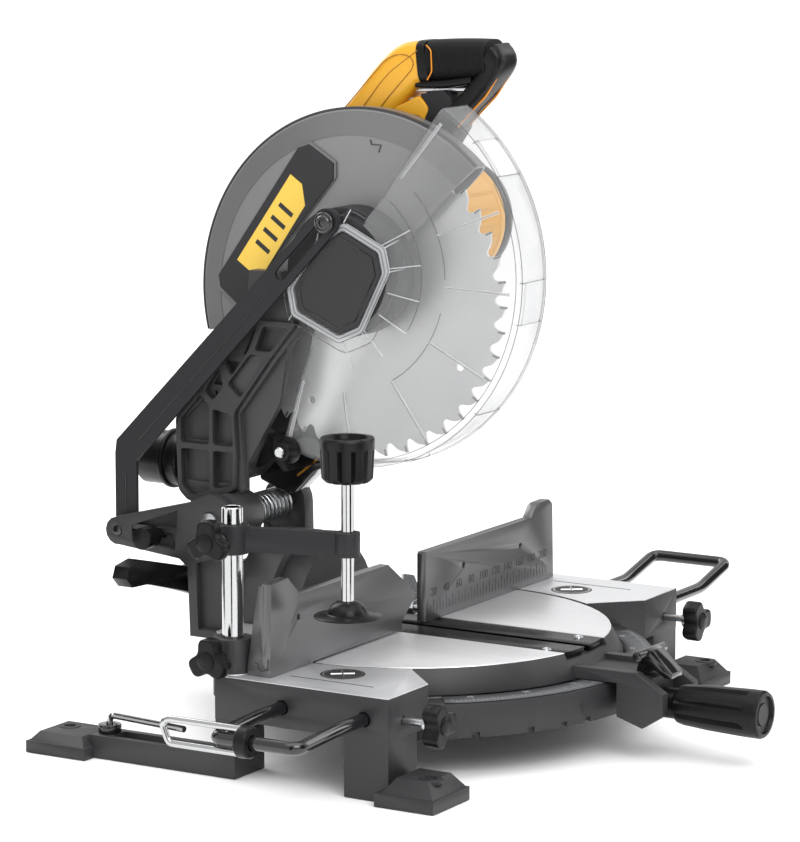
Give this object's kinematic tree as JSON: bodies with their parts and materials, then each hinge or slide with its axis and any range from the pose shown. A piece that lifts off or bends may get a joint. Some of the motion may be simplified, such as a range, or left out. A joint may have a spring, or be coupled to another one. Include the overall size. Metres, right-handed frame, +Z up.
{
  "type": "compound miter saw",
  "caption": "Bench saw with a swinging blade head, slotted turntable, split fence, clamp and side supports, for mitre and bevel cuts.",
  "frame": {"origin": "bench level, under the middle of the footprint box", "axes": "+X to the operator's right, +Y away from the operator, +Z up"},
  "size_m": [0.7098, 0.558, 0.5415],
  "materials": {
    "cast_dark": "dark powder-coated die casting",
    "cast_grey": "grey satin casting",
    "label_grey": "printed scale plate",
    "steel": "plain steel",
    "chrome": "bright plated",
    "black_bar": "gloss black rod",
    "black_plastic": "moulded black",
    "yellow_plastic": "moulded yellow",
    "grip_rubber": "soft ribbed",
    "clear_guard": "clear polycarbonate"
  },
  "bodies": {
    "base": {"base_casting": "cast_dark", "mitre_scale_plate": "label_grey", "fence_right": "cast_grey", "turntable_pivot_bolt": "steel", "leg_screw": "steel", "hex_key": "chrome"},
    "sliding_fence": {"fence_left": "cast_grey"},
    "left_bar": {"left_extension_bar": "black_bar"},
    "left_bar_lock": {"left_bar_lock_knob": "black_plastic"},
    "work_stop": {"work_stop": "chrome"},
    "right_bar": {"right_extension_bar": "black_bar"},
    "right_bar_lock": {"right_bar_lock_knob": "black_plastic"},
    "clamp_post": {"clamp_post": "chrome"},
    "post_lock": {"post_lock_knob": "black_plastic"},
    "clamp_arm": {"clamp_arm": "cast_dark"},
    "arm_lock": {"clamp_arm_lock_knob": "black_plastic"},
    "clamp_screw": {"clamp_screw": "chrome", "clamp_knob": "black_plastic", "clamp_foot": "black_plastic"},
    "turntable": {"turntable": "cast_dark", "kerf_insert_left": "black_plastic", "kerf_insert_right": "black_plastic", "bevel_pivot_bolt": "steel", "bevel_pivot_nut": "steel"},
    "mitre_lock": {"mitre_lock_handle": "black_plastic", "mitre_lock_screw": "steel"},
    "detent_lever": {"detent_lever": "black_plastic"},
    "bevel_arm": {"bevel_arm": "cast_dark", "head_pivot_shaft": "steel", "return_spring": "steel"},
    "bevel_lever": {"bevel_lock_lever": "black_plastic"},
    "head_lock": {"head_lock_pin": "black_plastic"},
    "head": {"head_arm": "cast_dark", "upper_guard": "cast_grey", "badge_plate": "label_grey", "gearbox_housing": "cast_dark", "motor_housing": "yellow_plastic", "motor_end_cap": "black_plastic", "motor_stator": "steel", "handle_left_shell": "yellow_plastic", "handle_right_shell": "yellow_plastic", "handle_grip": "grip_rubber", "dust_port": "black_plastic", "dust_chute": "black_plastic", "guard_stop_bumper": "black_plastic", "guard_hub": "steel"},
    "trigger": {"trigger": "cast_grey"},
    "armature": {"motor_armature": "steel", "motor_fan": "black_plastic"},
    "spindle": {"saw_blade": "steel", "spindle": "steel", "inner_flange": "steel", "outer_flange": "steel", "arbor_bolt": "steel", "driven_gear": "steel"},
    "lower_guard": {"lower_guard": "clear_guard", "guard_hub_plate": "steel", "link_top_bolt": "steel"},
    "guard_link": {"guard_link_arm": "steel", "link_foot_pin": "steel"}
  },
  "joints": [
    {"name": "left_fence_slide", "type": "slide", "parent": "base", "child": "sliding_fence", "axis": [-1, 0, 0], "range_m": [0, 0.03]},
    {"name": "left_bar_slide", "type": "slide", "parent": "base", "child": "left_bar", "axis": [-1, 0, 0], "range_m": [-0.007, 0.028]},
    {"name": "left_bar_lock_turn", "type": "hinge", "parent": "base", "child": "left_bar_lock", "pos_m": [-0.23092, -0.111, 0.0575], "axis": [0, 1, 0], "range_deg": [-180, 180]},
    {"name": "work_stop_flip", "type": "hinge", "parent": "left_bar", "child": "work_stop", "pos_m": [-0.34292, -0.023, 0.057], "axis": [0, 1, 0], "range_deg": [-25, 25]},
    {"name": "right_bar_slide", "type": "slide", "parent": "base", "child": "right_bar", "axis": [1, 0, 0], "range_m": [-0.007, 0.028]},
    {"name": "right_bar_lock_turn", "type": "hinge", "parent": "base", "child": "right_bar_lock", "pos_m": [0.18908, -0.111, 0.0575], "axis": [0, 1, 0], "range_deg": [-180, 180]},
    {"name": "clamp_post_swivel", "type": "hinge", "parent": "base", "child": "clamp_post", "pos_m": [-0.23392, 0.06, 0.0804], "axis": [0, 0, 1], "range_deg": [-45, 8]},
    {"name": "post_lock_turn", "type": "hinge", "parent": "base", "child": "post_lock", "pos_m": [-0.25892, 0.06, 0.092], "axis": [1, 0, 0], "range_deg": [-180, 180]},
    {"name": "clamp_arm_height", "type": "slide", "parent": "clamp_post", "child": "clamp_arm", "axis": [0, 0, 1], "range_m": [-0.01, 0.012]},
    {"name": "arm_lock_turn", "type": "hinge", "parent": "clamp_arm", "child": "arm_lock", "pos_m": [-0.25892, 0.06, 0.181], "axis": [1, 0, 0], "range_deg": [-180, 180]},
    {"name": "clamp_screw_feed", "type": "slide", "parent": "clamp_arm", "child": "clamp_screw", "axis": [0, 0, 1], "range_m": [-0.034, 0.03]},
    {"name": "mitre_turn", "type": "hinge", "parent": "base", "child": "turntable", "pos_m": [-0.02092, 0.03, 0.07775], "axis": [0, 0, 1], "range_deg": [-45, 35]},
    {"name": "mitre_lock_turn", "type": "hinge", "parent": "turntable", "child": "mitre_lock", "pos_m": [-0.02092, -0.206, 0.0415], "axis": [0, 1, 0], "range_deg": [-90, 90]},
    {"name": "detent_release", "type": "hinge", "parent": "turntable", "child": "detent_lever", "pos_m": [-0.02092, -0.177, 0.068], "axis": [1, 0, 0], "range_deg": [0, 12], "stiffness_Nm_per_rad": 0.6, "springref_deg": -8.59},
    {"name": "bevel_tilt", "type": "hinge", "parent": "turntable", "child": "bevel_arm", "pos_m": [-0.02092, 0.14, 0.07775], "axis": [0, -1, 0], "range_deg": [0, 33.5]},
    {"name": "bevel_lever_turn", "type": "hinge", "parent": "bevel_arm", "child": "bevel_lever", "pos_m": [-0.06092, 0.208, 0.1], "axis": [0, 1, 0], "range_deg": [-25, 6]},
    {"name": "head_lock_slide", "type": "slide", "parent": "bevel_arm", "child": "head_lock", "axis": [1, 0, 0], "range_m": [-0.012, 0.007]},
    {"name": "head_swing", "type": "hinge", "parent": "bevel_arm", "child": "head", "pos_m": [-0.02092, 0.176, 0.157], "axis": [1, 0, 0], "range_deg": [0, 49], "stiffness_Nm_per_rad": 20, "springref_deg": -40.11},
    {"name": "trigger_pull", "type": "hinge", "parent": "head", "child": "trigger", "pos_m": [0.01308, 0.038, 0.499], "axis": [-1, 0, 0], "range_deg": [0, 5], "stiffness_Nm_per_rad": 1, "springref_deg": -6.88},
    {"name": "armature_spin", "type": "hinge", "parent": "head", "child": "armature", "pos_m": [-0.02092, 0.08, 0.385], "axis": [1, 0, 0], "continuous": true},
    {"name": "spindle_spin", "type": "hinge", "parent": "head", "child": "spindle", "pos_m": [-0.02092, 0.0735, 0.3364], "axis": [1, 0, 0], "continuous": true},
    {"name": "guard_swing", "type": "hinge", "parent": "head", "child": "lower_guard", "pos_m": [-0.02092, 0.071, 0.3595], "axis": [1, 0, 0], "range_deg": [-110.25, 0]},
    {"name": "guard_link_swing", "type": "hinge", "parent": "bevel_arm", "child": "guard_link", "pos_m": [-0.02092, 0.266, 0.141], "axis": [1, 0, 0], "range_deg": [0, 34]}
  ],
  "couplings": [
    {"joint": "armature_spin", "follows": "spindle_spin", "ratio": -3.619},
    {"joint": "guard_swing", "follows": "head_swing", "ratio": -2.25},
    {"joint": "guard_link_swing", "follows": "head_swing", "ratio": 0.684}
  ]
}
